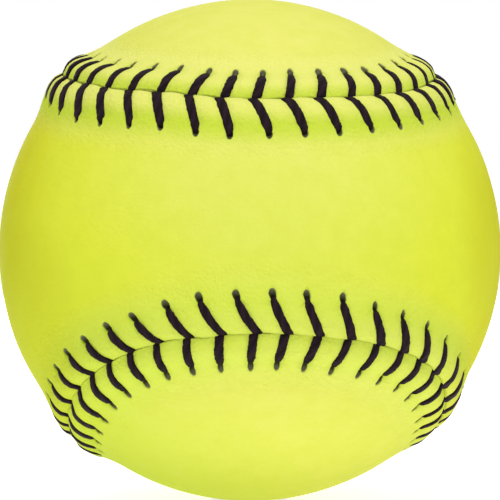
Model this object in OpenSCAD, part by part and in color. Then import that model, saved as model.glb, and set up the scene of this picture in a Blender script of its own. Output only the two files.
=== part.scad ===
// A stitched leather softball: a foam core, a coat of cement, two figure-eight cover panels
// and the seam thread sewn with two needles.
// The origin is the centre of the ball, +Z is up and the waist of the front panel faces -Y.

/* [Ball] */
// Diameter over the smooth leather
ball_d = 97; // [90:0.5:105]
// Thickness of the leather
leather_t = 1.3; // [1:0.05:1.6]
// Thickness of the cement between core and leather
cement_t = 0.2; // [0.1:0.05:0.4]
// Angle by which the waist of the front panel looks up from level
seam_tilt = 10; // [0:1:90]

/* [Seam] */
// Width of a panel at its waist, measured over the ball
waist_w = 44; // [38:0.5:50]
// How far the seam swings out round the ends of a panel, as a share of its mean radius
lobe_share = 0.445; // [0.4:0.005:0.5]
// How much the seam squares its turns, as a share of its mean radius
shoulder_share = -0.045; // [-0.06:0.005:0]
// Gap between the cut edges of the two panels
seam_gap = 0.3; // [0.2:0.05:0.6]
// Height of the raised leather on each side of the seam
ridge_h = 1.75; // [1.2:0.05:2.2]
// Distance from the seam to the foot of the raised leather
ridge_w = 10; // [9:0.5:12]

/* [Stitches] */
// Number of stitches round the seam
stitch_n = 88; // [80:4:96]
// Diameter of the waxed thread
thread_d = 1.3; // [0.9:0.05:1.5]
// Distance from the seam to each row of needle holes
hole_set = 7.3; // [6.5:0.1:8]
// Distance along the seam from a pair of needle holes to the point of their stitch
stitch_lead = 2; // [0:0.1:3]

/* [Hidden] */

// Turns of the whole circle and of its parts
turn = 360;
half_turn = turn / 2;
right_angle = turn / 4;
eighth_turn = turn / 8;

// Fineness of the true round surfaces
round_fn = 96;
// Samples of the seam from which its length is measured
seam_samples = 1440;
// Part of a turn between two points that give the seam's direction
direction_step = turn / seam_samples;

ball_r = ball_d / 2;
under_r = ball_r - leather_t;
thread_r = thread_d / 2;

// Height of a panel's turning points over its middle, from the width of the waist
waist_angle = waist_w / ball_r * half_turn / PI / 2;
swing = (1 - lobe_share - shoulder_share) / tan(waist_angle);

// Two columns of points stand at each stitch: one under the thread, one on the pillow beside it
columns = 2 * stitch_n;
rungs = columns / 2;
// Steps across half of a panel
half_steps = 5;
across = 2 * half_steps;

// Rows of points on the raised leather between the cut edge and the needle holes,
// as shares of the distance to those holes
row_shares = [0.19, 0.41, 0.68];
edge_set = seam_gap / 2;
top_rows = concat([edge_set], row_shares * hole_set, [hole_set, ridge_w]);
under_rows = [edge_set, row_shares[1] * hole_set, hole_set];
// Height of the pillows at the rows above, as shares of the height of the ridge
pillow_shares = [0.62, 0.95, 1, 0.72, 0.36, 0];

// The thread's middle: its height over the ball at a needle hole, at its crown and at the seam,
// as shares of the height of the ridge, and where the crown lies on its way to the seam
hole_height_share = 0.06;
crown_height_share = 0.74;
seam_height_share = 0.43;
crown_place_share = 0.62;
// Depth of the leather under the thread's middle, as a share of the thread's radius
seat_share = 1.35;
// Distance from the cut edge to the middle of the thread's end, as a share of the thread's radius
join_share = 0.7;
join_set = edge_set + join_share * thread_r;

// The seam on a ball of radius 1, with a panel's waist on +Z and its long axis along X.
// Its parameter runs through one turn.
function unit(v) = v / norm(v);
function seam_raw(t) = [
    cos(t) + lobe_share * cos(3 * t) + shoulder_share * cos(5 * t),
    sin(t) - lobe_share * sin(3 * t) + shoulder_share * sin(5 * t),
    swing * sin(2 * t)
];
function spun(v, a) = [v.x * cos(a) - v.y * sin(a), v.x * sin(a) + v.y * cos(a), v.z];
function seam_point(t) = unit(spun(seam_raw(t - eighth_turn), eighth_turn));
function seam_ahead(t) = seam_point(t + direction_step) - seam_point(t - direction_step);

// Distance along the seam, from the end of the panel on +X, against the parameter
seam_dots = [for (i = [0 : seam_samples]) seam_point(i * direction_step) * ball_r];
seam_runs = [
    for (i = 0, run = 0;
         i <= seam_samples;
         i = i + 1, run = run + norm(seam_dots[min(i, seam_samples)] - seam_dots[i - 1]))
    run
];
seam_length = seam_runs[seam_samples];
seam_table = [for (i = [0 : seam_samples]) [seam_runs[i], i * direction_step]];
stitch_pitch = seam_length / stitch_n;
function seam_param(run) = lookup(run - seam_length * floor(run / seam_length), seam_table);

// Point on a ball of radius 1 at a distance along the seam and a distance in from it.
// The points lean forward to the seam as the stitches do.
function lean(inset) = stitch_lead * max(0, 1 - inset / hole_set);
function beside_at(t, inset) =
    let (here = seam_point(t), side = unit(cross(here, seam_ahead(t))))
    here * cos(inset / ball_r * half_turn / PI) + side * sin(inset / ball_r * half_turn / PI);
function beside(run, inset) = beside_at(seam_param(run + lean(inset)), inset);
function column_run(i) = i * stitch_pitch / 2;

// A circle through three points of a plane: [centre x, centre y, radius]
function circle_through(a, b, c) =
    let (
        p = b - a,
        q = c - a,
        d = 2 * (p.x * q.y - p.y * q.x),
        x = (q.y * (p * p) - p.y * (q * q)) / d,
        y = (p.x * (q * q) - q.x * (p * p)) / d
    )
    [a.x + x, a.y + y, norm([x, y])];

// The thread's arc, in a plane that stands on the line from its needle hole to the seam
thread_run = norm([hole_set - join_set, stitch_lead * (1 - join_set / hole_set)]);
function bulge(x) = x * (thread_run - x) / (2 * ball_r);
crown_x = crown_place_share * thread_run;
arc = circle_through(
    [0, hole_height_share * ridge_h],
    [crown_x, crown_height_share * ridge_h + bulge(crown_x)],
    [thread_run, seam_height_share * ridge_h]
);
function arc_height(x) =
    arc[1] + sqrt(max(0, arc[2] * arc[2] - (x - arc[0]) * (x - arc[0]))) - bulge(x);

// Height of the leather over the ball at row j of the top, under a thread or on a pillow
function row_x(inset) = min(thread_run, (hole_set - inset) / (hole_set - join_set) * thread_run);
function pressed_height(inset) = arc_height(row_x(inset)) - seat_share * thread_r;
function pillow_height(j) = pillow_shares[j] * ridge_h;
function top_height(i, j) =
    i % 2 == 1 || top_rows[j] > hole_set ? pillow_height(j) : pressed_height(top_rows[j]);

// Rows of the top from which the rows of the underside take their height
under_from = [0, 2];
function under_height(i, j) = j < len(under_from) ? max(0, top_height(i, under_from[j])) : 0;

// Points of one panel, row by row round the seam and then rung by rung across the panel
top_ring = [for (i = [0 : columns - 1]) beside(column_run(i), ridge_w)];
under_ring = [for (i = [0 : columns - 1]) beside(column_run(i), hole_set)];
function rung_point(ring, i, c) =
    let (
        along = atan2(ring[i].x, ring[i].z),
        aside = asin(ring[i].y) * (1 - c / half_steps)
    )
    [sin(along) * cos(aside), sin(aside), cos(along) * cos(aside)];
function rung_points(ring) =
    [for (i = [1 : rungs - 1]) for (c = [1 : across - 1]) rung_point(ring, i, c)];
top_points = concat(
    [for (j = [0 : len(top_rows) - 1]) for (i = [0 : columns - 1])
        beside(column_run(i), top_rows[j]) * (ball_r + top_height(i, j))],
    rung_points(top_ring) * ball_r
);
under_points = concat(
    [for (j = [0 : len(under_rows) - 1]) for (i = [0 : columns - 1])
        beside(column_run(i), under_rows[j]) * (under_r + under_height(i, j))],
    rung_points(under_ring) * under_r
);

// Number of a point: in a row, and on a rung that starts and ends on the last row
function row_index(i, j) = j * columns + i % columns;
function rung_index(rows, i, c) =
    i == 0 || c == 0 || i == rungs ? row_index(i, rows - 1)
    : c == across ? row_index(columns - i, rows - 1)
    : rows * columns + (i - 1) * (across - 1) + c - 1;

// Triangles over a skin of a given number of rows, seen from outside the ball
function row_faces(rows) = [
    for (j = [0 : rows - 2]) for (i = [0 : columns - 1])
    let (
        a = row_index(i, j),
        b = row_index(i + 1, j),
        c = row_index(i + 1, j + 1),
        d = row_index(i, j + 1)
    )
    each i % 2 == 0 ? [[a, d, b], [b, d, c]] : [[a, c, b], [a, d, c]]
];
function rung_faces(rows) = [
    for (i = [0 : rungs - 1]) for (c = [0 : across - 1])
    let (
        p = rung_index(rows, i, c),
        q = rung_index(rows, i + 1, c),
        r = rung_index(rows, i + 1, c + 1),
        s = rung_index(rows, i, c + 1)
    )
    each i == 0 ? [[p, r, q]] : i == rungs - 1 ? [[p, s, q]] : [[p, r, q], [p, s, r]]
];
function skin_faces(rows) = concat(row_faces(rows), rung_faces(rows));
function flipped(faces, first) = [for (f = faces) [f[0], f[2], f[1]] + [first, first, first]];
function edge_faces(first) = [
    for (i = [0 : columns - 1])
    let (
        a = row_index(i, 0),
        b = row_index(i + 1, 0)
    )
    each [[a, b, first + b], [a, first + b, first + a]]
];

// The core stays clear of the flat facets of the leather's underside
function rung_diagonal(i, c) = max(
    norm(rung_point(under_ring, i, c) - rung_point(under_ring, i + 1, c + 1)),
    norm(rung_point(under_ring, i, c + 1) - rung_point(under_ring, i + 1, c))
);
widest_facet = max([
    for (i = [1 : rungs - 2]) for (c = [0 : across - 1]) rung_diagonal(i, c)
]);
cement_r = under_r * sqrt(1 - widest_facet * widest_facet / 4);
core_r = cement_r - cement_t;

module seated() {
    rotate([right_angle - seam_tilt, 0, 0])
        children();
}

// The other panel and its side of the seam are the mirror image of the first, a quarter round
module far_side() {
    rotate([0, 0, right_angle])
        mirror([0, 0, 1])
            children();
}

module panel() {
    first = len(top_points);
    polyhedron(
        points = concat(top_points, under_points),
        faces = concat(
            skin_faces(len(top_rows)),
            flipped(skin_faces(len(under_rows)), first),
            edge_faces(first)
        )
    );
}

// One pass of thread, from its needle hole over the raised leather and down into the seam
module pass(i) {
    hole = beside(column_run(2 * i), hole_set) * ball_r;
    join = beside(column_run(2 * i), join_set) * ball_r;
    ahead = unit(join - hole);
    out = unit(cross(cross(ahead, hole + join), ahead));
    across_it = cross(ahead, out);
    join_angle = atan2(seam_height_share * ridge_h - arc[1], thread_run - arc[0]);
    hole_angle = atan2(hole_height_share * ridge_h - arc[1], -arc[0]);
    multmatrix([
        [ahead.x, out.x, across_it.x, hole.x],
        [ahead.y, out.y, across_it.y, hole.y],
        [ahead.z, out.z, across_it.z, hole.z]
    ])
        translate([arc[0], arc[1], 0])
            rotate([0, 0, join_angle])
                rotate_extrude(angle = hole_angle - join_angle, $fn = round_fn)
                    translate([arc[2], 0])
                        circle(r = thread_r, $fn = round_fn / 4);
}

// Each needle's thread shows on the two panels in turn
module needle_thread(start) {
    for (i = [start : 2 : stitch_n - 1])
        pass(i);
    for (i = [1 - start : 2 : stitch_n - 1])
        far_side()
            pass(i);
}

module core() {
    color("wheat")
        sphere(r = core_r, $fn = round_fn);
}

module cement_coat() {
    color("ivory")
        difference() {
            sphere(r = cement_r, $fn = round_fn);
            sphere(r = core_r, $fn = round_fn);
        }
}

module front_panel() {
    color("greenyellow")
        seated()
            panel();
}

module back_panel() {
    color("yellowgreen")
        seated()
            far_side()
                panel();
}

module first_needle_thread() {
    color("indigo")
        seated()
            needle_thread(0);
}

module second_needle_thread() {
    color("midnightblue")
        seated()
            needle_thread(1);
}

core();
cement_coat();
front_panel();
back_panel();
first_needle_thread();
second_needle_thread();
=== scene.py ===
"""A fastpitch softball: two figure-eight leather panels sewn round a foam core with waxed thread."""

import math

import bpy
import numpy as np
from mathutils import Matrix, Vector


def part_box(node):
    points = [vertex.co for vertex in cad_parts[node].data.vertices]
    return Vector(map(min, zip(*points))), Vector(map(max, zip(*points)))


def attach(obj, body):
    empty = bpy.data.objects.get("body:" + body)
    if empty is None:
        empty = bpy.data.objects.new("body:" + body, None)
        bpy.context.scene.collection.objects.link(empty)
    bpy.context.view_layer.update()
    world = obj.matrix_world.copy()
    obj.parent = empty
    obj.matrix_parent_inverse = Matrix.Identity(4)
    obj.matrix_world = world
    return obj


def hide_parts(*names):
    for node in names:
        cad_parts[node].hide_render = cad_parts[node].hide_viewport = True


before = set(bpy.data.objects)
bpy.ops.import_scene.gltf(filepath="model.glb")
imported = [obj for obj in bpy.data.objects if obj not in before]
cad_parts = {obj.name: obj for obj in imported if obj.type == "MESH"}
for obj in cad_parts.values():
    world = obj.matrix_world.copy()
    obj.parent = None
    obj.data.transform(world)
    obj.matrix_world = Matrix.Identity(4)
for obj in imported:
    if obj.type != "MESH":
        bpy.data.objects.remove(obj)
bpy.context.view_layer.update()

# Lengths are in millimetres. The ball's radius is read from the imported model.
MM = 0.001
BALL_R = (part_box("front_panel")[1][0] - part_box("front_panel")[0][0]) / 2 / MM
LEATHER_T = 1.3

# The seam: how far the front waist looks up, the waist's width, the shares of the curve's faster
# waves, which shape the lobes and their shoulders, and the number of stitches
SEAM_TILT = math.radians(10)
WAIST_W = 44
LOBE_SHARE = 0.445
SHOULDER_SHARE = -0.045
STITCHES = 88
SEAM_SAMPLES = 14400

# The raised leather beside the seam: its height, the width of each panel's side of it, how sharply
# it falls off, and where its tail starts. The stitches' pattern fades out over the blend.
RIDGE_H = 1.9
RIDGE_W_FRONT = 6.2
RIDGE_W_BACK = 5.35
RIDGE_POWER = 4.4
TAIL_START = 7.5
BLEND_START = 8.4
BLEND_END = 12.0

# The leather's edge rolls down into the groove: depth and reach of its lip, slope and shoulder
LIP_DEEP = 0.04
LIP_REACH = 0.12
SLOPE_DEEP = 0.22
SLOPE_REACH = 0.9
SHOULDER_DEEP = 0.42
SHOULDER_REACH = 1.15

# A needle hole: its distance from the seam, its half length on the seam's side and on the far
# side, its half width and its depth. Counted in those half sizes, the floor and the wall are
# squared distances from its middle, and its raised rim is at a plain distance from it.
PIT_AT = 6.6
PIT_INWARD = 1.25
PIT_OUTWARD = 0.98
PIT_WIDE = 0.57
PIT_DEEP = 0.8
PIT_FLOOR = 0.35
PIT_WALL = 0.8
RIM_AT = 1.35
RIM_WIDE = 0.35
RIM_H = 0.03

# The bed that the thread presses into the leather: its depth, the share of it that is left away
# from the seam, where that share starts, where the bed runs out and over what length, its half
# width, the share of its narrow part, and how many times as wide the rest is
PRESS_DEEP = 0.7
PRESS_FAR_SHARE = 0.78
PRESS_FAR_START = 1.8
PRESS_END = 5.2
PRESS_END_LENGTH = 1.6
PRESS_WIDE = 1.0
BED_CORE_SHARE = 0.7
BED_SKIRT = 2.1

# A stitch pulls the leather down at its hole: how deep, how far across the stitch and along it,
# and how far towards the seam the pull's middle is
PULL_DEEP = 0.18
PULL_ACROSS = 1.5
PULL_ALONG = 1.7
PULL_INWARD = 0.5

# The leather is painted darker in the thread's bed as shade, up to the crease's end, and a little where
# the stitch pulls.
CREASE_END = 5.6
CREASE_END_LENGTH = 1.4
CREASE_BED_SHARE = 0.7
CREASE_PULL_SHARE = 0.3

# A pass of thread runs from its hole to the groove. There the front one ends ahead of the place
# where they meet by CROSSING, and the back one behind it. The pass bends on its way, and its line
# goes on a little past the hole. How far that place strays is read a little ahead of it.
JOIN_AHEAD = 2
CROSSING = 0.36
LEAN_POWER = 1.4
OVERRUN_SHARE = 0.1

# The thread: width, thickness, the share of the thickness by which it stands over its bed, the
# share of the rolled edge that it follows, and where a longer or shorter pass is stretched
THREAD_WIDE = 1.6
THREAD_THICK = 0.8
THREAD_LIFT_SHARE = 0.14
THREAD_EDGE_SHARE = 0.85
STRETCH_START = 4
STRETCH_LENGTH = 2

# Where the thread goes down, into its hole and into the groove: how deep, from where, how soon
HOLE_DIVE = 1.7
HOLE_DIVE_START = 1.25
HOLE_DIVE_LENGTH = 0.9
GROOVE_DIVE = 0.7
GROOVE_DIVE_LENGTH = 0.45

# The thread narrows and thins at its hole and flares at the groove, where its end lies along the
# seam. The seam's direction is measured a step to each side.
NECK_START = 2.3
NECK_LENGTH = 1.5
NECK_THIN_SHARE = 0.12
FLARE_REACH = 2.4
SHEAR_SHARE = 0.9
SHEAR_REACH = 1.4
SEAM_STEP = 0.2

# The thread's section: plies, their twist in radians per millimetre and their depth as a share,
# how square it is, its fibres and their twist, and how far each pass shifts that pattern
PLIES = 3
PLY_TWIST = 1.9
PLY_SHARE = 0.035
SQUARE_POWER = 4
SQUARENESS = 0.12
FIBRES = 21
FIBRE_TWIST = 4.5
PASS_SHIFT = 1.37

# The seed, and how far the sewing strays at random: the joins, the lean, the holes along the seam
# and across it, the thread's width, the pillows between stitches, and the thread's own fuzz
SEED = 12
JOIN_SPREAD = 0.1
LEAN_SPREAD = 0.08
HOLE_SPREAD = 0.13
PIT_SPREAD = 0.1
FAT_SPREAD = 0.05
PILLOW_SPREAD = 0.06
WIDTH_FUZZ = 0.03
PATH_FUZZ = 0.022

# The groove bows between two stitches: how far, how unevenly, and how far from the seam
BOW = 0.15
BOW_SPREAD = 0.12
BOW_REACH = 1.3

# Slow waves in the hide: their paces in radians per radius, and the height at the main pace
SWELL_PACES = (5, 6, 7, 9, 11, 14, 17, 21)
SWELL_MAIN_PACE = 6
SWELL_H = 0.035
SWELL_PHASES = 6.28

# How the sewing and the hide change along the seam. Each row holds a place along the seam and the
# value there, and between two rows the value changes evenly.

# How far the groove strays towards the front panel
GROOVE_STRAYS = (
    (84, -0.6), (92, -0.5), (104, 0.0), (116, 0.43), (128, 0.5), (134, 0.72), (140, 0.55),
    (146, 0.0), (152, -0.38), (170, -0.1), (178, 0.3), (335, -0.4), (346, -0.45), (354, -0.2),
    (364, 0.0), (375, 0.3), (387, 0.05), (403, -0.2), (416, -0.05), (428, 0.2), (440, 0.38),
)
# How far ahead of their even places the needle holes are, and the places where the passes meet
FRONT_HOLE_STRAYS = (
    (84, 1.6), (97, 1.3), (108, 0.5), (132, 0.25), (150, -0.2), (165, -0.4), (175, 0.2), (190, 0.9),
    (335, 2.0), (349, 1.9), (356, 1.35), (368, 0.75), (384, 0.5), (398, 0.0), (415, -0.3),
    (431, -0.5), (438, 0.8), (446, 1.7), (460, 1.0),
)
BACK_HOLE_STRAYS = (
    (84, 0.3), (93, 0.4), (103, 1.0), (115, 0.7), (128, 0.9), (137, 0.0), (144, -0.4), (156, 0.6),
    (165, 1.2), (177, 2.2), (190, 1.4), (335, 0.4), (348, 0.7), (356, 1.5), (366, 2.1), (386, 2.15),
    (392, 1.9), (399, 1.1), (408, 1.2), (416, 1.95), (440, 2.3), (455, 1.4),
)
JOIN_STRAYS = (
    (84, 2.3), (99, 2.9), (108, 2.6), (124, 2.6), (134, 2.5), (143, 1.95), (152, 2.3), (176, 2.8),
    (335, 3.3), (345, 3.8), (357, 4.0), (368, 3.45), (392, 3.55), (399, 2.7), (415, 3.2),
    (422, 3.0), (430, 2.4), (440, 2.8),
)
# How much further from the seam than PIT_AT the needle holes are
FRONT_PIT_STRAYS = (
    (85, 0.0), (103, -0.3), (120, 0.2), (140, 0.65), (150, 0.3), (170, 0.4), (180, -0.8),
    (345, -0.2), (366, -0.65), (372, -0.6), (380, 0.25), (390, 0.6), (408, 0.6), (413, -0.1),
    (425, -0.4), (438, -0.9), (446, -0.6),
)
BACK_PIT_STRAYS = ((0, 0.0),)
# The needle holes' width as a share of PIT_WIDE
FRONT_PIT_SIZES = (
    (84, 1.0), (180, 1.0), (335, 1.3), (370, 1.15), (395, 1.08), (406, 1.0), (418, 0.75),
    (450, 0.65), (465, 1.0),
)
BACK_PIT_SIZES = (
    (78, 1.2), (84, 1.5), (114, 1.5), (125, 1.1), (180, 1.0), (335, 1.5), (360, 1.35), (385, 1.05),
    (450, 1.0),
)
# The ridge's height as a share of RIDGE_H
FRONT_RISE = ((84, 0.87), (131, 1.0), (178, 1.12), (335, 0.93), (395, 1.0), (450, 0.95))
BACK_RISE = ((84, 0.87), (131, 1.0), (178, 1.2), (335, 1.0), (395, 1.0), (450, 0.75))
# The thread's width as a share of THREAD_WIDE
FRONT_WIDES = (
    (78, 1.3), (84, 1.35), (90, 1.12), (95, 1.5), (102, 1.5), (108, 1.4), (114, 1.17), (131, 1.18),
    (155, 1.15), (161, 1.45), (173, 1.33), (179, 1.3), (185, 1.75), (200, 1.1), (325, 1.05),
    (335, 1.08), (395, 1.0), (412, 1.0), (424, 0.92), (430, 0.95), (436, 1.1), (450, 1.05),
)
BACK_WIDES = (
    (78, 1.05), (131, 1.0), (155, 1.2), (180, 1.2), (200, 1.05), (316, 1.05), (329, 1.7), (335, 1.65),
    (341, 1.5), (347, 1.32), (353, 1.18), (359, 1.07), (395, 1.0), (436, 1.03), (442, 0.55),
    (448, 0.7), (456, 1.05),
)
# The share of its width that the thread loses at its hole, and the share that it gains at the groove
FRONT_NECKS = ((84, 0.22), (180, 0.22), (335, 0.34), (450, 0.34))
BACK_NECKS = ((0, 0.34),)
FRONT_FLARES = (
    (84, 0), (180, 0), (335, -0.5), (350, -0.45), (370, -0.2), (395, 0.05), (415, 0.25), (428, 0.45),
    (450, 0.45),
)
BACK_FLARES = ((84, 0), (180, 0), (335, -0.5), (350, -0.45), (370, -0.2), (390, 0), (450, 0))
# How far past the middle of its hole the thread goes
FRONT_FILLS = (
    (84, 0.55), (180, 0.55), (335, 0.0), (425, 0.0), (431, 0.15), (436, 0.6), (442, 1.0), (448, 1.0),
    (460, 0.5),
)
BACK_FILLS = ((84, 0), (412, 0), (418, -0.6), (424, -0.3), (436, -0.35), (450, 0))
# How worn the hide is, and how strongly light and shade are painted by the seam, from 0 to 1
WEAR_AND_LIGHT = (
    (84, 1.0), (180, 1.0), (260, 0.6), (335, 0.12), (372, 0.12), (395, 0.25), (450, 0.35), (500, 0.7),
)

# Places of the thread's rings across the seam, from the bottom of its needle hole to the groove
THREAD_ROWS = np.concatenate([
    np.arange(6.5, 5.0, -0.15), np.arange(5.0, 0.75, -0.28), [0.7, 0.45, 0.28, 0.14, 0.02],
])
THREAD_SIDES = 16

# A panel's columns of points, as distances from each stitch's thread at the mean pitch
OFFSETS = np.array([
    -2.45, -1.75, -1.2, -0.85, -0.6, -0.4, -0.2, 0, 0.2, 0.4, 0.6, 0.85, 1.2, 1.75, 2.45,
])
PER_STITCH = len(OFFSETS)
COLUMNS = STITCHES * PER_STITCH
RUNGS = COLUMNS // 2

# A panel's rows of points, as distances from the seam: on top and underneath, with the heights of
# the rows underneath. The half steps are the points from one side of the panel to its middle.
ROWS = np.array([
    0.025, 0.1, 0.24, 0.4, 0.6, 0.85, 1.15, 1.5, 1.95, 2.45, 3.0, 3.5, 4.0, 4.45, 4.85, 5.2, 5.45,
    5.65, 5.85, 6.05, 6.25, 6.45, 6.65, 6.85, 7.05, 7.25, 7.45, 7.65, 7.9, 8.3, 8.9, 9.6, 10.4,
    11.2, BLEND_END,
])
UNDER_ROWS = np.array([0.12, 3.0, 5.2, BLEND_END])
UNDER_HEIGHTS = np.array([-0.5, -0.8, -LEATHER_T, -LEATHER_T])
HALF_STEPS = 14
UNDER_HALF_STEPS = 4

# What the leather's material reads at each point: the place across and down the nearest needle
# hole in half sizes of it, the crease's share of painted shade, the distance from the seam in
# millimetres, the wear together with the strength of the painted light, and the place along the
# seam as a point on a circle. PLAIN is a point far from the seam.
LAYERS = ("across", "down", "crease", "from_seam", "wear_and_light", "turn_x", "turn_y")
PLAIN = (4.0, 20.0, 0.0, 30.0, 0.5, 0.0, 0.0)


# The seam


def unit(v):
    return v / np.linalg.norm(v, axis=-1, keepdims=True)


def smooth(x):
    """From 0 to 1, level at both ends."""
    x = np.clip(x, 0, 1)
    return x * x * (3 - 2 * x)


WAIST_ANGLE = WAIST_W / BALL_R / 2
SWING = (1 - LOBE_SHARE - SHOULDER_SHARE) / math.tan(WAIST_ANGLE)


def seam_point(t):
    """The seam on a ball of radius 1, with the front waist on +Z and its long axis along X."""
    u = t - math.pi / 4
    x = np.cos(u) + LOBE_SHARE * np.cos(3 * u) + SHOULDER_SHARE * np.cos(5 * u)
    y = np.sin(u) - LOBE_SHARE * np.sin(3 * u) + SHOULDER_SHARE * np.sin(5 * u)
    z = SWING * np.sin(2 * u)
    return unit(np.stack([(x - y) * math.sqrt(0.5), (x + y) * math.sqrt(0.5), z], -1))


SEAM_T = np.linspace(0, 2 * math.pi, SEAM_SAMPLES + 1)
SEAM_DOTS = seam_point(SEAM_T) * BALL_R
SEAM_RUN = np.concatenate([[0], np.cumsum(np.linalg.norm(np.diff(SEAM_DOTS, axis=0), axis=1))])
SEAM_LENGTH = SEAM_RUN[-1]
PITCH = SEAM_LENGTH / STITCHES


def read_off(table, run):
    """A table's value at a place along the seam."""
    places, values = zip(*table)
    return np.interp(run, places, values, period=SEAM_LENGTH)


def on_ball(run, inset):
    """Points on the unit ball at a distance along the seam and a signed distance across it."""
    t = np.interp(run % SEAM_LENGTH, SEAM_RUN, SEAM_T)
    step = math.pi / SEAM_SAMPLES
    here = seam_point(t)
    side = unit(np.cross(here, seam_point(t + step) - seam_point(t - step)))
    angle = (inset / BALL_R)[..., None]
    return here * np.cos(angle) + side * np.sin(angle)


def seated(points):
    """From the seam's own frame to the part's: the front waist faces -Y and looks up a little."""
    turn = math.pi / 2 - SEAM_TILT
    c, s = math.cos(turn), math.sin(turn)
    x, y, z = points[..., 0], points[..., 1], points[..., 2]
    return np.stack([x, y * c - z * s, y * s + z * c], -1)


# The sewing. The draws from rng keep their order, because each one moves the next.

rng = np.random.default_rng(SEED)
even_run = np.arange(STITCHES) * PITCH
join_stray = read_off(JOIN_STRAYS, even_run + JOIN_AHEAD)
join_run = even_run + join_stray + rng.normal(0, JOIN_SPREAD, STITCHES)
join_lean = CROSSING + rng.normal(0, LEAN_SPREAD, STITCHES)
bow = rng.normal(BOW, BOW_SPREAD, STITCHES)


def groove(run, inset):
    """How far the seam's line is off the ideal one, as felt at a distance from it."""
    turns = (run - join_run[0]) // SEAM_LENGTH
    local = run - turns * SEAM_LENGTH
    before = np.clip(np.searchsorted(join_run, local, side="right") - 1, 0, STITCHES - 1)
    after = np.where(before == STITCHES - 1, join_run[0] + SEAM_LENGTH, join_run[(before + 1) % STITCHES])
    share = (local - join_run[before]) / (after - join_run[before])
    arcs = bow[before] * np.sin(math.pi * share) ** 2 * np.exp(-(inset / BOW_REACH) ** 2)
    fade = 1 - smooth((inset - BLEND_START) / (BLEND_END - BLEND_START))
    return read_off(GROOVE_STRAYS, run) * fade + arcs


class Side:
    """One panel's side of the seam and the passes of thread that lie on it."""

    def __init__(
            self, name, sign, first_stitch, ridge_w, rise, hole_strays, pit_strays, pit_sizes,
            wides, necks, flares, fills):
        self.name = name
        self.sign = sign
        self.first = first_stitch
        self.ridge_w = ridge_w
        self.rise = rise
        self.holes = even_run + read_off(hole_strays, even_run) + rng.normal(0, HOLE_SPREAD, STITCHES)
        self.joins = join_run + sign * join_lean
        self.pit_at = PIT_AT + read_off(pit_strays, even_run) + rng.normal(0, PIT_SPREAD, STITCHES)
        self.pit_wide = PIT_WIDE * read_off(pit_sizes, even_run)
        self.fat = read_off(wides, even_run) + rng.normal(0, FAT_SPREAD, STITCHES)
        self.neck = read_off(necks, even_run)
        self.flare = read_off(flares, even_run)
        self.end_at = self.pit_at + read_off(fills, even_run)
        self.pillow = rng.normal(0, PILLOW_SPREAD, STITCHES)
        self.fuzz = rng.normal(0, 1, (STITCHES, 2, len(THREAD_ROWS)))

    def line(self, i, inset):
        """Place along the seam of stitch i at a distance in from it."""
        share = np.clip(1 - inset / PIT_AT, -OVERRUN_SHARE, 1)
        bend = np.sign(share) * np.abs(share) ** LEAN_POWER
        return self.holes[i] + (self.joins[i] - self.holes[i]) * bend

    def place(self, run, inset):
        """Unit vectors from a place along the seam and a distance in from the wandering seam."""
        return on_ball(run, groove(run, inset) + self.sign * inset)

    def ridge(self, run, inset):
        """Height of the leather over the ball between stitches, without its rolled edge."""
        fall = 1 / (1 + (np.abs(inset) / self.ridge_w) ** RIDGE_POWER)
        tail = 1 - smooth((inset - TAIL_START) / (BLEND_END - TAIL_START))
        return RIDGE_H * read_off(self.rise, run) * fall * tail


FRONT = Side(
    "front", 1, 0, RIDGE_W_FRONT, FRONT_RISE, FRONT_HOLE_STRAYS, FRONT_PIT_STRAYS, FRONT_PIT_SIZES,
    FRONT_WIDES, FRONT_NECKS, FRONT_FLARES, FRONT_FILLS)
BACK = Side(
    "back", -1, STITCHES // 4, RIDGE_W_BACK, BACK_RISE, BACK_HOLE_STRAYS, BACK_PIT_STRAYS,
    BACK_PIT_SIZES, BACK_WIDES, BACK_NECKS, BACK_FLARES, BACK_FILLS)

# Each swell is a wave's direction times its pace, its height and its phase.
SWELLS = [
    np.array([
        *(unit(rng.normal(size=3)) * pace),
        SWELL_H * SWELL_MAIN_PACE / pace,
        rng.uniform(0, SWELL_PHASES),
    ])
    for pace in SWELL_PACES
]


def swell(points):
    """Slow unevenness of the hide."""
    total = np.zeros(points.shape[:-1])
    for wave in SWELLS:
        total += wave[3] * np.sin(points @ wave[:3] + wave[4])
    return total


def edge_drop(inset):
    """How far the rolled edge of the leather drops beside the groove."""
    return (LIP_DEEP * np.exp(-inset / LIP_REACH) + SLOPE_DEEP * np.exp(-inset / SLOPE_REACH)
            + SHOULDER_DEEP * np.exp(-(inset / SHOULDER_REACH) ** 2))


def press(inset):
    """Depth of the thread's bed in the leather."""
    deepening = PRESS_FAR_SHARE + (1 - PRESS_FAR_SHARE) * smooth(PRESS_FAR_START - inset)
    return PRESS_DEEP * (1 - smooth((inset - PRESS_END) / PRESS_END_LENGTH)) * deepening


def pull_along(inset, pit_at):
    """How much of a stitch's pull is felt at a distance from the seam, from 0 to 1."""
    return np.exp(-((inset - pit_at + PULL_INWARD) / PULL_ALONG) ** 2)


# The panels


def column_grid(side, rows):
    """Runs, stitch numbers and cross distances of every column at every row."""
    stitch = np.repeat(np.arange(STITCHES), PER_STITCH)
    offset = np.tile(OFFSETS, STITCHES)[:, None]
    lines = side.line(np.arange(STITCHES)[:, None], rows[None, :])
    ahead = np.roll(lines, -1, axis=0)
    ahead[-1] += SEAM_LENGTH
    later = ahead - lines
    gap = np.where(offset < 0, np.roll(later, 1, axis=0)[stitch], later[stitch])
    cross = offset * gap / PITCH
    near = lines[stitch] + cross
    even = (np.arange(COLUMNS) - PER_STITCH // 2) * PITCH / PER_STITCH
    blend = smooth((rows - BLEND_START) / (BLEND_END - BLEND_START))
    return near * (1 - blend) + even[:, None] * blend, stitch, cross


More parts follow.
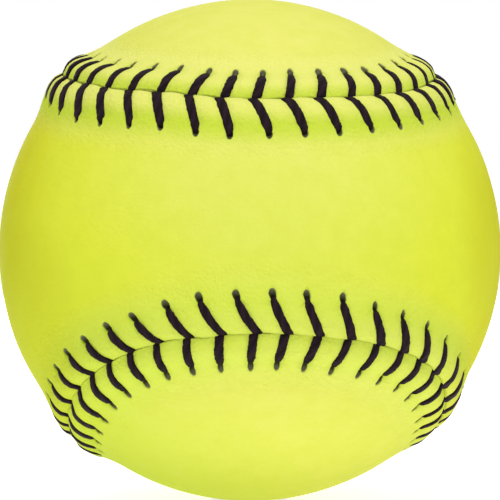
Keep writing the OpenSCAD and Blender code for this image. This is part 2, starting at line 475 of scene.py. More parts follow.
def pillow_lift(side, stitch, cross):
    """How much higher or lower the ridge is between two stitches, as a share."""
    own, later, earlier = (np.roll(side.pillow, k)[stitch][:, None] for k in (0, -1, 1))
    share = np.clip(cross / PITCH, -0.5, 0.5)
    return np.where(
        share > 0, own * (1 - share) + later * share, own * (1 + share) - earlier * share)


def top_heights(side, run, stitch, cross, rows):
    """Height over the ball at every column and row, and the layers that the material reads."""
    d = rows[None, :]
    pit_at = side.pit_at[stitch][:, None]
    wide = PRESS_WIDE * side.fat[stitch][:, None]
    bed = (BED_CORE_SHARE * np.exp(-(cross / wide) ** 2)
           + (1 - BED_CORE_SHARE) * np.exp(-(cross / wide / BED_SKIRT) ** 2))
    pull = np.exp(-(cross / PULL_ACROSS) ** 2) * pull_along(d, pit_at)
    across = np.abs(cross) / side.pit_wide[stitch][:, None]
    down = (d - pit_at) / np.where(d < pit_at, PIT_INWARD, PIT_OUTWARD)
    reach = across ** 2 + down ** 2

    height = side.ridge(run, d) * (1 + pillow_lift(side, stitch, cross)) - edge_drop(d)
    height = height - press(d) * bed - PULL_DEEP * pull
    height = height - PIT_DEEP * (1 - smooth((reach - PIT_FLOOR) / PIT_WALL))
    height = height + RIM_H * np.exp(-((np.sqrt(reach) - RIM_AT) / RIM_WIDE) ** 2)

    # The crease's share of painted shade: in the thread's bed and where the stitch pulls
    bed_crease = bed * (1 - smooth((d - CREASE_END) / CREASE_END_LENGTH))
    crease = np.clip(bed_crease * CREASE_BED_SHARE + pull * CREASE_PULL_SHARE, 0, 1)
    turn = run / SEAM_LENGTH * 2 * math.pi
    around = SEAM_LENGTH / (2 * math.pi)
    layers = np.stack([
        across, down + 0 * cross, crease, d + 0 * cross, read_off(WEAR_AND_LIGHT, run),
        around * np.cos(turn), around * np.sin(turn),
    ], -1)
    return height, layers


def points_across(side, ring, half_steps):
    """Points on rungs across a panel, from one side of its innermost row to the other."""
    x, y, z = ring[:, 0], ring[:, 1], ring[:, 2]
    if side.sign < 0:
        x, y, z = y, -x, -z
    shares = 1 - np.arange(1, 2 * half_steps) / half_steps
    along = np.arctan2(x, z)[1:RUNGS, None]
    aside = np.arcsin(y)[1:RUNGS, None] * shares[None, :]
    x, y, z = np.sin(along) * np.cos(aside), np.sin(aside), np.cos(along) * np.cos(aside)
    if side.sign < 0:
        x, y, z = -y, x, -z
    return np.stack([x, y, z], -1).reshape(-1, 3)


def skin_faces(rows, half_steps):
    """Faces of a skin: rows of quads round the seam, then a grid of quads across the panel."""
    column = np.arange(COLUMNS)
    ahead = (column + 1) % COLUMNS
    quads = []
    for j in range(rows - 1):
        a, b = j * COLUMNS + column, j * COLUMNS + ahead
        quads.append(np.stack([a, b, b + COLUMNS, a + COLUMNS], 1))
    last = (rows - 1) * COLUMNS
    inner = 2 * half_steps - 1
    number = np.empty((RUNGS + 1, inner + 2), int)
    number[1:RUNGS, 1:-1] = rows * COLUMNS + np.arange((RUNGS - 1) * inner).reshape(-1, inner)
    number[:, 0] = last + np.arange(RUNGS + 1)
    number[:, -1] = last + (-np.arange(RUNGS + 1)) % COLUMNS
    number[0, :] = last
    number[RUNGS, :] = last + RUNGS
    quads.append(np.stack([
        number[:-1, :-1], number[1:, :-1], number[1:, 1:], number[:-1, 1:],
    ], -1).reshape(-1, 4))
    return np.concatenate(quads)


def make_skin(side, rows, heights, layers, half_steps, outward):
    """Points, faces and layers of a panel's top or underside."""
    flat = rows.transpose(1, 0, 2).reshape(-1, 3)
    middle = points_across(side, rows[:, -1], half_steps)
    points = np.concatenate([
        flat * (BALL_R + heights.T.reshape(-1, 1) + swell(flat)[:, None]),
        middle * (BALL_R + heights[0, -1] + swell(middle)[:, None]),
    ])
    layers = np.concatenate([
        layers.transpose(1, 0, 2).reshape(-1, len(LAYERS)), np.tile(PLAIN, (len(middle), 1)),
    ])
    faces = skin_faces(rows.shape[1], half_steps)
    return points, faces if outward else faces[:, ::-1], layers


def panel_mesh(side):
    """Points, faces and layers of one panel: its top, its underside and the wall at the seam."""
    roll = -(PER_STITCH // 2) - side.first * PER_STITCH
    run, stitch, cross = column_grid(side, ROWS)
    top = side.place(run, np.broadcast_to(ROWS, run.shape))
    height, layers = top_heights(side, run, stitch, cross, ROWS)
    top, height, layers = (np.roll(a, roll, axis=0) for a in (top, height, layers))
    under_run, _, _ = column_grid(side, UNDER_ROWS)
    under = np.roll(
        side.place(under_run, np.broadcast_to(UNDER_ROWS, under_run.shape)), roll, axis=0)
    depth = np.broadcast_to(UNDER_HEIGHTS, under.shape[:2])
    plain = np.broadcast_to(PLAIN, (*under.shape[:2], len(LAYERS)))

    top_skin = make_skin(side, top, height, layers, HALF_STEPS, side.sign > 0)
    under_skin = make_skin(side, under, depth, plain, UNDER_HALF_STEPS, side.sign < 0)
    first_under = len(top_skin[0])
    column = np.arange(COLUMNS)
    ahead = (column + 1) % COLUMNS
    wall = np.stack([ahead, column, first_under + column, first_under + ahead], 1)
    if side.sign < 0:
        wall = wall[:, ::-1]
    return (
        np.concatenate([top_skin[0], under_skin[0]]),
        np.concatenate([top_skin[1], under_skin[1] + first_under, wall]),
        np.concatenate([top_skin[2], under_skin[2]]),
    )


def make_mesh(name, points, faces, layers):
    """A smooth Blender object from points in the seam's frame, with a float layer for each name."""
    distinct = [list(dict.fromkeys(face)) for face in faces.tolist()]
    mesh = bpy.data.meshes.new(name)
    mesh.from_pydata((seated(points) * MM).tolist(), [], [f for f in distinct if len(f) > 2])
    for layer, values in layers.items():
        mesh.attributes.new(layer, "FLOAT", "POINT").data.foreach_set(
            "value", np.ascontiguousarray(values, dtype=np.float32))
    mesh.polygons.foreach_set("use_smooth", [True] * len(mesh.polygons))
    mesh.update()
    piece = bpy.data.objects.new(name, mesh)
    bpy.context.scene.collection.objects.link(piece)
    return piece


def make_panel(side):
    points, faces, layers = panel_mesh(side)
    return make_mesh("leather_" + side.name, points, faces, dict(zip(LAYERS, layers.T)))


# The thread


def pass_middle(side, i, d, run, out):
    """Middle line of one pass: over its bed, and down into its hole and the groove."""
    bed = side.ridge(run, d) - press(d) - THREAD_EDGE_SHARE * edge_drop(d)
    bed = bed - PULL_DEEP * pull_along(d, side.pit_at[i])
    hole_dive = HOLE_DIVE * smooth((d - side.end_at[i] + HOLE_DIVE_START) / HOLE_DIVE_LENGTH)
    groove_dive = GROOVE_DIVE * (1 - np.clip(d / GROOVE_DIVE_LENGTH, 0, 1)) ** 2
    lift = THREAD_LIFT_SHARE * THREAD_THICK
    return out * (BALL_R + bed + lift - hole_dive - groove_dive)[:, None]


def pass_frame(side, d, run, out, middle):
    """Unit vectors across the pass and up from it, and the cosine of the cut's slant."""
    ahead = unit(np.gradient(middle, axis=0))
    square_on = unit(np.cross(ahead, out))
    cut = unit(on_ball(run + SEAM_STEP, side.sign * d) - on_ball(run - SEAM_STEP, side.sign * d))
    cut = cut * np.sign(np.sum(cut * square_on, axis=-1))[:, None]
    shear = (SHEAR_SHARE * (1 - smooth(d / SHEAR_REACH)))[:, None]
    across = unit(square_on * (1 - shear) + cut * shear)
    upward = unit(np.cross(across, ahead))
    upward = upward * np.sign(np.sum(upward * out, axis=-1))[:, None]
    return across, upward, np.sum(across * square_on, axis=-1)


def pass_rings(side, i):
    """Rings of points round one pass of thread, and each point's place along it and round it."""
    end_at = side.end_at[i]
    d = THREAD_ROWS + (end_at - PIT_AT) * smooth((THREAD_ROWS - STRETCH_START) / STRETCH_LENGTH)
    run = side.line(i, d)
    out = side.place(run, d)
    middle = pass_middle(side, i, d, run, out)
    across, upward, slant = pass_frame(side, d, run, out, middle)
    neck = smooth((d - end_at + NECK_START) / NECK_LENGTH)
    wide = THREAD_WIDE / 2 * side.fat[i] * (1 - side.neck[i] * neck) / slant
    wide = wide * (1 + side.flare[i] * np.exp(-(d / FLARE_REACH) ** 2))
    wide = wide * (1 + WIDTH_FUZZ * side.fuzz[i, 0])
    thick = THREAD_THICK / 2 * (1 - NECK_THIN_SHARE * neck)
    middle = middle + across * (PATH_FUZZ * side.fuzz[i, 1])[:, None]

    along = np.concatenate([[0], np.cumsum(np.linalg.norm(np.diff(middle, axis=0), axis=1))])
    theta = np.arange(THREAD_SIDES) / THREAD_SIDES * 2 * math.pi
    plies = 1 + PLY_SHARE * np.cos(PLIES * theta[None, :] + along[:, None] * PLY_TWIST + i)
    corners = np.abs(np.cos(theta)) ** SQUARE_POWER + np.abs(np.sin(theta)) ** SQUARE_POWER
    reach = plies * corners ** -SQUARENESS
    rings = middle[:, None, :] + (
        across[:, None, :] * (wide[:, None] * np.cos(theta)[None, :] * reach)[..., None]
        + upward[:, None, :] * (thick[:, None] * np.sin(theta)[None, :] * reach)[..., None]
    )
    around = np.broadcast_to(theta / (2 * math.pi), rings.shape[:2])
    return rings, np.broadcast_to(along[:, None], around.shape), around


def make_thread(name, start):
    """All the visible passes of one needle's thread, which takes the two panels in turn."""
    points, faces, along, around = [], [], [], []
    base = 0
    last = len(THREAD_ROWS) - 1
    k = np.arange(THREAD_SIDES)
    ahead = (k + 1) % THREAD_SIDES
    for side in (FRONT, BACK):
        offset = start if side.sign > 0 else 1 - start
        for i in range(offset, STITCHES, 2):
            rings, place, turn = pass_rings(side, i)
            ends = rings[[0, last]].mean(axis=1)
            points += [rings.reshape(-1, 3), ends]
            along += [place.reshape(-1) + i * PASS_SHIFT, place[[0, last], 0]]
            around += [turn.reshape(-1), turn[[0, last], 0]]
            for j in range(last):
                near, far = base + j * THREAD_SIDES, base + (j + 1) * THREAD_SIDES
                faces.append(np.stack([far + k, far + ahead, near + ahead, near + k], 1))
            first_rim, last_rim = base, base + last * THREAD_SIDES
            first_tip = np.full_like(k, last_rim + THREAD_SIDES)
            faces.append(np.stack([first_rim + k, first_rim + ahead, first_tip, first_tip], 1))
            last_tip = first_tip + 1
            faces.append(np.stack([last_tip, last_tip, last_rim + ahead, last_rim + k], 1))
            base += rings.shape[0] * THREAD_SIDES + len(ends)
    layers = {"along": np.concatenate(along), "around": np.concatenate(around)}
    return make_mesh(name, np.concatenate(points), np.concatenate(faces), layers)


# Materials. Colours are linear red, green and blue with an alpha of 1.

# Each hide has its colour at the middle of the ball, paler there with a painted sheen, and on the
# way out along x, where the far colour is painted shade. It also has the tint of its clouds, and two
# bands of painted light: a painted highlight and painted shade. A band is four distances from the
# seam: it rises between the first two and falls between the last two.
HIDES = {
    "front": {
        "middle": (0.695, 0.76, 0.10, 1),
        "ends": (0.735, 0.80, 0.042, 1),
        "far": (0.60, 0.56, 0.005, 1),
        "bright": (0.72, 0.77, 0.090, 1),
        "highlight_band": (-2, -1, 1.6, 4.4),
        "shade_band": (3.2, 5.4, 6.6, 9.6),
    },
    "back": {
        "middle": (0.785, 0.775, 0.165, 1),
        "ends": (0.74, 0.765, 0.125, 1),
        "far": (0.66, 0.68, 0.04, 1),
        "bright": (0.795, 0.78, 0.165, 1),
        "highlight_band": (1.0, 3.2, 9.0, 11.8),
        "shade_band": (-2, -1, 0.4, 2.6),
    },
}
# Painted highlight over the top of the ball
PAINTED_TOP_HIGHLIGHT = (0.79, 0.775, 0.20, 1)
# The ridge painted in shade where the light by the seam is weak, and painted lit where it is strong
PAINTED_SHADED_RIDGE = (0.63, 0.745, 0.09, 1)
PAINTED_LIT_RIDGE = (0.75, 0.775, 0.16, 1)
# Greener painted shade low on the left
GREEN_CORNER_SHADE = (0.52, 0.68, 0.045, 1)
MOTTLE = (0.62, 0.70, 0.04, 1)
# The ridge's painted highlight band and its painted shade band
PAINTED_RIDGE_HIGHLIGHT = (0.82, 0.82, 0.22, 1)
PAINTED_RIDGE_SHADE = (0.50, 0.67, 0.018, 1)
# Painted shade in the creases beside the thread
CREASE_SHADE = (0.40, 0.57, 0.008, 1)
GROOVE_DIRT = (0.16, 0.20, 0.012, 1)
PIT_SHADE = (0.022, 0.018, 0.016, 1)
# Raw hide at a hole's far end, lighter with a painted highlight
RAW_HIDE_AND_HIGHLIGHT = (0.21, 0.21, 0.13, 1)
THREAD_DARK = (0.003, 0.001, 0.002, 1)
THREAD_LIGHT = (0.018, 0.006, 0.013, 1)
FOAM_DARK = (0.62, 0.46, 0.22, 1)
FOAM_LIGHT = (0.72, 0.56, 0.30, 1)
CEMENT_DARK = (0.66, 0.58, 0.36, 1)
CEMENT_LIGHT = (0.78, 0.72, 0.5, 1)
FLOOR_DARK = (0.80, 0.80, 0.80, 1)
FLOOR_LIGHT = (0.83, 0.83, 0.83, 1)
WHITE = (1, 1, 1, 1)

# A reach or a range is where a tint or a relief starts and where it is full. A share is the most
# that there is of it. Where there are two shares or two roughnesses, they are the least and the
# most. Scales are waves or cells in a metre, and noise mostly lies in NOISE_RANGE.
NOISE_RANGE = (0.3, 0.7)

# The hide's painted light follows the distance in radii from a point this high on the ball: a
# painted sheen near it and painted shade further out. Height counts for less than width, and the
# left, painted darker, for a little more.
TINT_MIDDLE_Z = 0.25
TINT_Z_SHARE = 0.6
TINT_LEAN = 0.025
TINT_SCALE = 35
TINT_UNEVEN = (-0.06, 0.06)
ENDS_REACH = (0.15, 0.7)
FAR_REACH = (0.76, 1.04)
TOP_REACH = (0.85, 0.3)
TOP_HEIGHT = (0.0, 0.35)
TOP_SHARE = 0.4
CORNER_REACH = (0.6, 1.3)
CORNER_SHARE = 0.45
CLOUD_SCALE = 28
CLOUD_SHARE = 0.2
MOTTLE_SCALE = 240
MOTTLE_RANGE = (0.35, 0.65)
MOTTLE_SHARE = 0.24

# Painted light and tints beside the seam follow the distance from it in millimetres. Along the
# seam, scales are waves in a millimetre, and SEAM_SQUEEZE is how fast the noise changes across it
# by comparison.
SEAM_SQUEEZE = 0.3
RIDGE_REACH = (5.0, BLEND_END)
RIDGE_LIGHT_RANGE = (0.05, 1.0)
RIDGE_HIGHLIGHT_SHARE = 0.5
RIDGE_SHADE_SHARE = 0.65
CREASE_SHARE = 0.4
DIRT_REACH = (0.3, 0.06)
DIRT_SCALE = 0.13
DIRT_RANGE = (0.4, 0.6)
DIRT_SHARES = (0.35, 0.9)

# The inside of a needle hole, painted dark as shade: its edge as squares of half sizes, the raw
# hide with its painted highlight down its length in half sizes, the share of its own colour, and
# how much rougher it is
PIT_EDGE = (1.15, 0.8)
RAW_REACH = (-0.3, 0.9)
PIT_SHARE = 0.97
PIT_ROUGHER = 0.3

# The hide's grain, with heights in millimetres. It is fainter in the middle of a panel.
GRAIN_REACH = (28, 10)
GRAIN_LEAST = 0.4
PORE_SCALE = 1500
PORE_H = 0.12
PEBBLE_SCALE = 420
PEBBLE_H = 0.22
SPECK_SCALE = 2600
SPECK_RANGE = (0.35, 0.7)
SPECK_SHARE = 0.4
SPECK_H = 0.03
STREAK_SCALE_X = 450.0
STREAK_SCALE_YZ = 1500.0
STREAK_H = 0.1
WRINKLE_SCALE = 0.8
WRINKLE_REACH = (8.0, 1.0)
WRINKLE_WEAR = (0.2, 1.0)
WRINKLE_SHARES = (0.25, 0.6)
WRINKLE_H = 0.5
LEATHER_ROUGH_SCALE = 160
LEATHER_ROUGH = (0.68, 0.76)
LEATHER_GLOSS = 0.04

# The thread, with its relief in millimetres. Its tone follows its plies and its fuzz together.
THREAD_TONE = (0.45, 1.55)
PLY_RELIEF = 0.12
FIBRE_RELIEF = 0.03
FUZZ_RELIEF = 0.05
FUZZ_SCALE = 3200
THREAD_ROUGH = (0.65, 0.85)
THREAD_GLOSS = 0.12

# The foam, the dried adhesive and the floor
BUBBLE_SCALE = 900
BUBBLE_RANGE = (0, 0.5)
BUBBLE_RELIEF = 0.1
FOAM_SCALE = 60
FOAM_ROUGH = (0.7, 0.9)
BRUSH_SCALE = 90
BRUSH_RELIEF = 0.15
CEMENT_ROUGH = (0.3, 0.5)
FLOOR_SCALE = 40
FLOOR_ROUGH = 0.9
FLOOR_GLOW = 0.68


class Recipe:
    """A material's node tree, built one line at a time."""

    def __init__(self, name):
        self.material = bpy.data.materials.new(name)
        self.material.use_nodes = True
        self.tree = self.material.node_tree
        self.shader = self.tree.nodes["Principled BSDF"]

    def node(self, kind, settings=None, **inputs):
        node = self.tree.nodes.new(kind)
        for key, value in (settings or {}).items():
            setattr(node, key, value)
        for key, value in inputs.items():
            self.feed(node, key.replace("_", " "), value)
        return node

    def feed(self, node, key, value):
        socket = node.inputs[key]
        if isinstance(value, bpy.types.NodeSocket):
            self.tree.links.new(value, socket)
        else:
            socket.default_value = value

    def math(self, operation, a, b=0.0, clamp=False):
        node = self.node("ShaderNodeMath", {"operation": operation, "use_clamp": clamp})
        self.feed(node, 0, a)
        self.feed(node, 1, b)
        return node.outputs[0]

    def times(self, a, b, clamp=False):
        return self.math("MULTIPLY", a, b, clamp)

    def mix(self, share, a, b):
        """Two colours mixed. They are this node's sockets 6 and 7, and its third result."""
        node = self.node("ShaderNodeMix", {"data_type": "RGBA"})
        for index, value in ((0, share), (6, a), (7, b)):
            self.feed(node, index, value)
        return node.outputs[2]

    def layer(self, name):
        return self.node("ShaderNodeAttribute", {"attribute_name": name}).outputs["Fac"]

    def place(self):
        return self.node("ShaderNodeTexCoord").outputs["Object"]

    def axes(self):
        return self.node("ShaderNodeSeparateXYZ", Vector=self.place()).outputs

    def vector(self, x, y, z):
        return self.node("ShaderNodeCombineXYZ", X=x, Y=y, Z=z).outputs["Vector"]

    def noise(self, scale, detail=2.0, roughness=0.5, vector=None):
        node = self.node(
            "ShaderNodeTexNoise", Vector=vector or self.place(), Scale=scale, Detail=detail,
            Roughness=roughness)
        return node.outputs["Fac"]

    def cells(self, scale):
        node = self.node("ShaderNodeTexVoronoi", Vector=self.place(), Scale=scale)
        return node.outputs["Distance"]

    def spread(self, value, low, high, to_low=0.0, to_high=1.0):
        """Spread a value that runs from low to high over another range, and stop at its ends."""
        node = self.node("ShaderNodeMapRange")
        for index, item in enumerate((value, low, high, to_low, to_high)):
            self.feed(node, index, item)
        return node.outputs["Result"]

    def bump(self, height, relief, strength=1.0, normal=None):
        """Relief in millimetres over the normal of the bump before it."""
        node = self.node("ShaderNodeBump", Height=height, Strength=strength, Distance=relief * MM)
        if normal is not None:
            self.feed(node, "Normal", normal)
        return node.outputs["Normal"]

    def finish(self, **sockets):
        for key, value in sockets.items():
            self.feed(self.shader, key.replace("_", " "), value)
        return self.material


def painted_light_distance(r, axes):
    """Distance in radii from the middle of the painted light, made uneven by a slow noise."""
    x = r.math("DIVIDE", axes["X"], BALL_R * MM)
    z = r.math("SUBTRACT", r.math("DIVIDE", axes["Z"], BALL_R * MM), TINT_MIDDLE_Z)
    z = r.times(z, TINT_Z_SHARE)
    outward = r.math("SQRT", r.math("ADD", r.times(x, x), r.times(z, z)))
    outward = r.math("SUBTRACT", outward, r.times(x, TINT_LEAN))
    uneven = r.spread(r.noise(TINT_SCALE, detail=3), *NOISE_RANGE, *TINT_UNEVEN)
    return r.math("ADD", outward, uneven)


def hide_colour(r, hide, axes, from_seam, wear_and_light):
    """Dyed hide with clouds and mottle, and painted light: a sheen in the middle and at the top,
    the ridge painted lit or in shade, and painted shade further out and greener low on the left.
    """
    outward = painted_light_distance(r, axes)
    height = r.math("DIVIDE", axes["Z"], BALL_R * MM)
    corner = r.math("DIVIDE", r.math("ADD", axes["X"], axes["Z"]), -BALL_R * MM)
    # Painted sheen in the middle, giving way to the ends' colour
    base = r.mix(r.spread(outward, *ENDS_REACH), hide["middle"], hide["ends"])
    cloud = r.noise(CLOUD_SCALE, detail=3)
    base = r.mix(r.spread(cloud, *NOISE_RANGE, to_high=CLOUD_SHARE), base, hide["bright"])
    # Painted highlight over the top of the ball
    top_highlight = r.spread(outward, *TOP_REACH, to_high=TOP_SHARE)
    base = r.mix(r.times(r.spread(height, *TOP_HEIGHT), top_highlight), base, PAINTED_TOP_HIGHLIGHT)
    # By the seam, the ridge is painted lit where the light there is strong and in shade where it is weak
    ridge = r.mix(r.spread(wear_and_light, *RIDGE_LIGHT_RANGE), PAINTED_SHADED_RIDGE, PAINTED_LIT_RIDGE)
    base = r.mix(r.spread(from_seam, *RIDGE_REACH), ridge, base)
    # Painted shade further out, towards the sides
    base = r.mix(r.spread(outward, *FAR_REACH), base, hide["far"])
    # Greener painted shade low on the left
    base = r.mix(r.spread(corner, *CORNER_REACH, to_high=CORNER_SHARE), base, GREEN_CORNER_SHADE)
    mottle = r.noise(MOTTLE_SCALE, detail=4, roughness=0.6)
    return r.mix(r.spread(mottle, *MOTTLE_RANGE, to_high=MOTTLE_SHARE), base, MOTTLE)


def painted_light_band(r, band, from_seam, wear_and_light):
    """How much of a band of painted light shows, for the highlight band and the shade band alike."""
    rise, full, fall, end = band
    inside = r.times(r.spread(from_seam, rise, full), r.spread(from_seam, end, fall))
    return r.times(inside, wear_and_light)


def seam_colour(r, base, hide, from_seam, wear_and_light, crease, along_seam):
    """The ridge's painted highlight and shade bands, painted crease shade and the groove's dirt."""
    # A painted highlight band on the ridge, kept out of the creases
    highlight = r.times(
        painted_light_band(r, hide["highlight_band"], from_seam, wear_and_light), r.math("SUBTRACT", 1, crease), clamp=True)
    base = r.mix(r.times(highlight, RIDGE_HIGHLIGHT_SHARE), base, PAINTED_RIDGE_HIGHLIGHT)
    # A painted shade band on the ridge
    shade_band = painted_light_band(r, hide["shade_band"], from_seam, wear_and_light)
    base = r.mix(r.times(shade_band, RIDGE_SHADE_SHARE), base, PAINTED_RIDGE_SHADE)
    # Painted shade in the creases
    base = r.mix(r.times(crease, CREASE_SHARE, clamp=True), base, CREASE_SHADE)
    patches = r.spread(r.noise(DIRT_SCALE, vector=along_seam), *DIRT_RANGE, *DIRT_SHARES)
    dirt = r.times(r.times(r.spread(from_seam, *DIRT_REACH), wear_and_light), patches)
    return r.mix(dirt, base, GROOVE_DIRT)


def hide_grain(r, axes, from_seam, wear_and_light, along_seam):
    """Pores, pebbles, specks and streaks over the hide, and wrinkles across the ridge."""
    worked = r.spread(from_seam, *GRAIN_REACH, to_low=GRAIN_LEAST)
    grain = r.bump(r.cells(PORE_SCALE), PORE_H, worked)
    pebbles = r.noise(PEBBLE_SCALE, detail=4, roughness=0.62)
    grain = r.bump(pebbles, PEBBLE_H, worked, grain)
    specks = r.spread(r.noise(SPECK_SCALE, roughness=0.6), *SPECK_RANGE)
    grain = r.bump(specks, SPECK_H, SPECK_SHARE, grain)
    drawn_out = r.vector(
        r.times(axes["X"], STREAK_SCALE_X), r.times(axes["Y"], STREAK_SCALE_YZ),
        r.times(axes["Z"], STREAK_SCALE_YZ))
    streaks = r.noise(1.0, detail=3, roughness=0.6, vector=drawn_out)
    grain = r.bump(streaks, STREAK_H, worked, grain)
    wrinkles = r.noise(WRINKLE_SCALE, vector=along_seam)
    wrinkles = r.times(wrinkles, r.spread(from_seam, *WRINKLE_REACH))
    return r.bump(wrinkles, WRINKLE_H, r.spread(wear_and_light, *WRINKLE_WEAR, *WRINKLE_SHARES), grain)


def leather_material(name, hide):
    """Dyed hide with wear, painted light, painted shade in its creases and its needle holes' insides."""
    r = Recipe(name)
    across, down, crease = r.layer("across"), r.layer("down"), r.layer("crease")
    from_seam, wear_and_light = r.layer("from_seam"), r.layer("wear_and_light")
    axes = r.axes()
    along_seam = r.vector(r.layer("turn_x"), r.layer("turn_y"), r.times(from_seam, SEAM_SQUEEZE))
    base = hide_colour(r, hide, axes, from_seam, wear_and_light)
    base = seam_colour(r, base, hide, from_seam, wear_and_light, crease, along_seam)

    # In a needle hole: painted shade at the thread, raw hide and a painted highlight at the far end
    reach = r.math("ADD", r.times(across, across), r.times(down, down))
    pit = r.spread(reach, *PIT_EDGE)
    pit_shade_and_highlight = r.mix(r.spread(down, *RAW_REACH), PIT_SHADE, RAW_HIDE_AND_HIGHLIGHT)
    base = r.mix(r.times(pit, PIT_SHARE), base, pit_shade_and_highlight)

    grain = hide_grain(r, axes, from_seam, wear_and_light, along_seam)
    rough = r.spread(r.noise(LEATHER_ROUGH_SCALE, detail=3), *NOISE_RANGE, *LEATHER_ROUGH)
    rough = r.math("ADD", rough, r.times(pit, PIT_ROUGHER), clamp=True)
    r.shader.inputs["Specular IOR Level"].default_value = LEATHER_GLOSS
    return r.finish(Base_Color=base, Roughness=rough, Normal=grain)


def twisted(r, wave, strands, twist):
    """From 0 to 1 and back for each strand round the thread, as the strands twist along it."""
    turns = r.math(
        "ADD", r.times(r.layer("around"), strands * 2 * math.pi), r.times(r.layer("along"), twist))
    return r.times(r.math("ADD", r.math(wave, turns), 1), 0.5)


def thread_material():
    """Dark waxed thread of three plies, with fine fibres and a little fuzz."""
    r = Recipe("waxed_thread")
    ply = twisted(r, "COSINE", PLIES, PLY_TWIST)
    fibre = twisted(r, "SINE", FIBRES, FIBRE_TWIST)
    fuzz = r.noise(FUZZ_SCALE, detail=3, roughness=0.7)
    base = r.mix(r.spread(r.math("ADD", ply, fuzz), *THREAD_TONE), THREAD_DARK, THREAD_LIGHT)
    rough = r.spread(fuzz, *NOISE_RANGE, *THREAD_ROUGH)
    normal = r.bump(ply, PLY_RELIEF, strength=0.5)
    normal = r.bump(fibre, FIBRE_RELIEF, strength=0.5, normal=normal)
    normal = r.bump(fuzz, FUZZ_RELIEF, strength=0.6, normal=normal)
    r.shader.inputs["Specular IOR Level"].default_value = THREAD_GLOSS
    return r.finish(Base_Color=base, Roughness=rough, Normal=normal)


def foam_material():
    """Tan foam with small bubbles."""
    r = Recipe("foam_core")
    bubbles = r.cells(BUBBLE_SCALE)
    tone = r.spread(r.noise(FOAM_SCALE, detail=3), *NOISE_RANGE)
    base = r.mix(tone, FOAM_DARK, FOAM_LIGHT)
    rough = r.spread(bubbles, *BUBBLE_RANGE, *FOAM_ROUGH)
    normal = r.bump(bubbles, BUBBLE_RELIEF, strength=0.6)
    return r.finish(Base_Color=base, Roughness=rough, Normal=normal)


def cement_material():
    """Dried adhesive with the marks of the brush."""
    r = Recipe("cement")
    brush = r.noise(BRUSH_SCALE, detail=4, roughness=0.6)
    base = r.mix(r.spread(brush, *NOISE_RANGE), CEMENT_DARK, CEMENT_LIGHT)
    rough = r.spread(brush, *NOISE_RANGE, *CEMENT_ROUGH)
    normal = r.bump(brush, BRUSH_RELIEF, strength=0.5)
    return r.finish(Base_Color=base, Roughness=rough, Normal=normal)


def floor_material():
    """Pale and matt. To the camera it also glows a little, so that it shows white."""
    r = Recipe("floor")
    base = r.mix(r.noise(FLOOR_SCALE, detail=3), FLOOR_DARK, FLOOR_LIGHT)
    path = r.node("ShaderNodeLightPath").outputs
    seen = r.math("MAXIMUM", path["Is Camera Ray"], path["Is Glossy Ray"])
    seen = r.math("MAXIMUM", seen, path["Is Transmission Ray"])
    return r.finish(
        Base_Color=base, Roughness=FLOOR_ROUGH, Emission_Color=WHITE,
        Emission_Strength=r.times(seen, FLOOR_GLOW))


def dress(piece, material):
    piece.data.materials.clear()
    piece.data.materials.append(material)


# Pieces

hides = {name: leather_material("leather_" + name, hide) for name, hide in HIDES.items()}
waxed = thread_material()

for side in (FRONT, BACK):
    panel = make_panel(side)
    dress(panel, hides[side.name])
    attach(panel, "root")
    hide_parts(side.name + "_panel")

for name, start in (("first", 0), ("second", 1)):
    thread = make_thread("seam_thread_" + name, start)
    dress(thread, waxed)
    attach(thread, "root")
    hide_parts(name + "_needle_thread")

for node, material in (("core", foam_material()), ("cement_coat", cement_material())):
    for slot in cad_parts[node].material_slots:
        slot.material = material


# Floor, light and camera. From here on, lengths are in metres.

FLOOR_HALF = 60.0

# Name, place, width and height, and power of each lamp. They face the ball, apart from one that
# lies on the table and shines up, for the light that a pale table throws back.
LAMPS = (
    ("crown", (0.05, -0.35, 0.85), (0.35, 0.35), 4.8),
    ("front", (-0.1, -0.9, 0.1), (0.4, 0.4), 0.9),
    ("table", (0.03, 0.0, -0.048), (0.7, 0.7), 0.7, (0, 0, 1)),
    ("back", (-0.1, 0.9, 0.05), (0.4, 0.4), 3.4),
)
WORLD_LEVEL = 0.455
WHITE_LEVEL = 1.0

# The camera stands where the photograph's did: twelve ball radii away, a little to the left.
CAMERA_AWAY = 12 * BALL_R * MM
CAMERA_AZIMUTH = math.radians(-4.5)
CAMERA_ELEVATION = math.radians(1.6)
CAMERA_LENS = 216.0
CAMERA_SENSOR = 36
CAMERA_NEAR = 0.01


def make_floor():
    half, z = FLOOR_HALF, -BALL_R * MM
    mesh = bpy.data.meshes.new("floor")
    mesh.from_pydata([(-half, -half, z), (half, -half, z), (half, half, z), (-half, half, z)],
                     [], [(0, 1, 2, 3)])
    floor = bpy.data.objects.new("floor", mesh)
    bpy.context.scene.collection.objects.link(floor)
    return floor


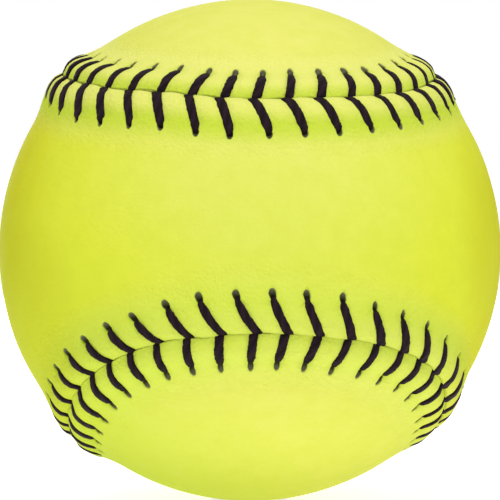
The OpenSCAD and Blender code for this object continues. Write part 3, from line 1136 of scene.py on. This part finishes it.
def soft_light(name, place, size, power, aim=None):
    """A square lamp that faces the ball or the way that it is given. The camera doesn't see it."""
    lamp = bpy.data.lights.new(name, "AREA")
    lamp.shape = "RECTANGLE"
    lamp.size, lamp.size_y = size
    lamp.energy = power
    holder = bpy.data.objects.new(name, lamp)
    holder.location = place
    holder.visible_camera = False
    facing = Vector(aim) if aim else -Vector(place)
    holder.rotation_euler = facing.to_track_quat("-Z", "Y").to_euler()
    bpy.context.scene.collection.objects.link(holder)


def studio_world():
    """An even light from all sides, which the camera, mirrors and glass see as white."""
    world = bpy.data.worlds.new("studio")
    world.use_nodes = True
    nodes, links = world.node_tree.nodes, world.node_tree.links
    path = nodes.new("ShaderNodeLightPath")
    seen = path.outputs["Is Camera Ray"]
    for kind in ("Is Glossy Ray", "Is Transmission Ray"):
        either = nodes.new("ShaderNodeMath")
        either.operation = "MAXIMUM"
        links.new(seen, either.inputs[0])
        links.new(path.outputs[kind], either.inputs[1])
        seen = either.outputs[0]
    level = nodes.new("ShaderNodeMapRange")
    links.new(seen, level.inputs["Value"])
    level.inputs["To Min"].default_value = WORLD_LEVEL
    level.inputs["To Max"].default_value = WHITE_LEVEL
    sky = nodes["Background"]
    sky.inputs["Color"].default_value = WHITE
    links.new(level.outputs["Result"], sky.inputs["Strength"])
    return world


def make_camera():
    toward = Vector((
        math.sin(CAMERA_AZIMUTH) * math.cos(CAMERA_ELEVATION),
        -math.cos(CAMERA_AZIMUTH) * math.cos(CAMERA_ELEVATION),
        math.sin(CAMERA_ELEVATION),
    ))
    camera = bpy.data.objects.new("camera", bpy.data.cameras.new("camera"))
    camera.location = toward * CAMERA_AWAY
    camera.rotation_euler = toward.to_track_quat("Z", "Y").to_euler()
    camera.data.lens = CAMERA_LENS
    camera.data.sensor_width = CAMERA_SENSOR
    camera.data.clip_start = CAMERA_NEAR
    bpy.context.scene.collection.objects.link(camera)
    return camera


floor = make_floor()
dress(floor, floor_material())
for lamp_row in LAMPS:
    soft_light(*lamp_row)
bpy.context.scene.world = studio_world()
bpy.context.scene.camera = make_camera()
bpy.context.scene.view_settings.view_transform = "Standard"
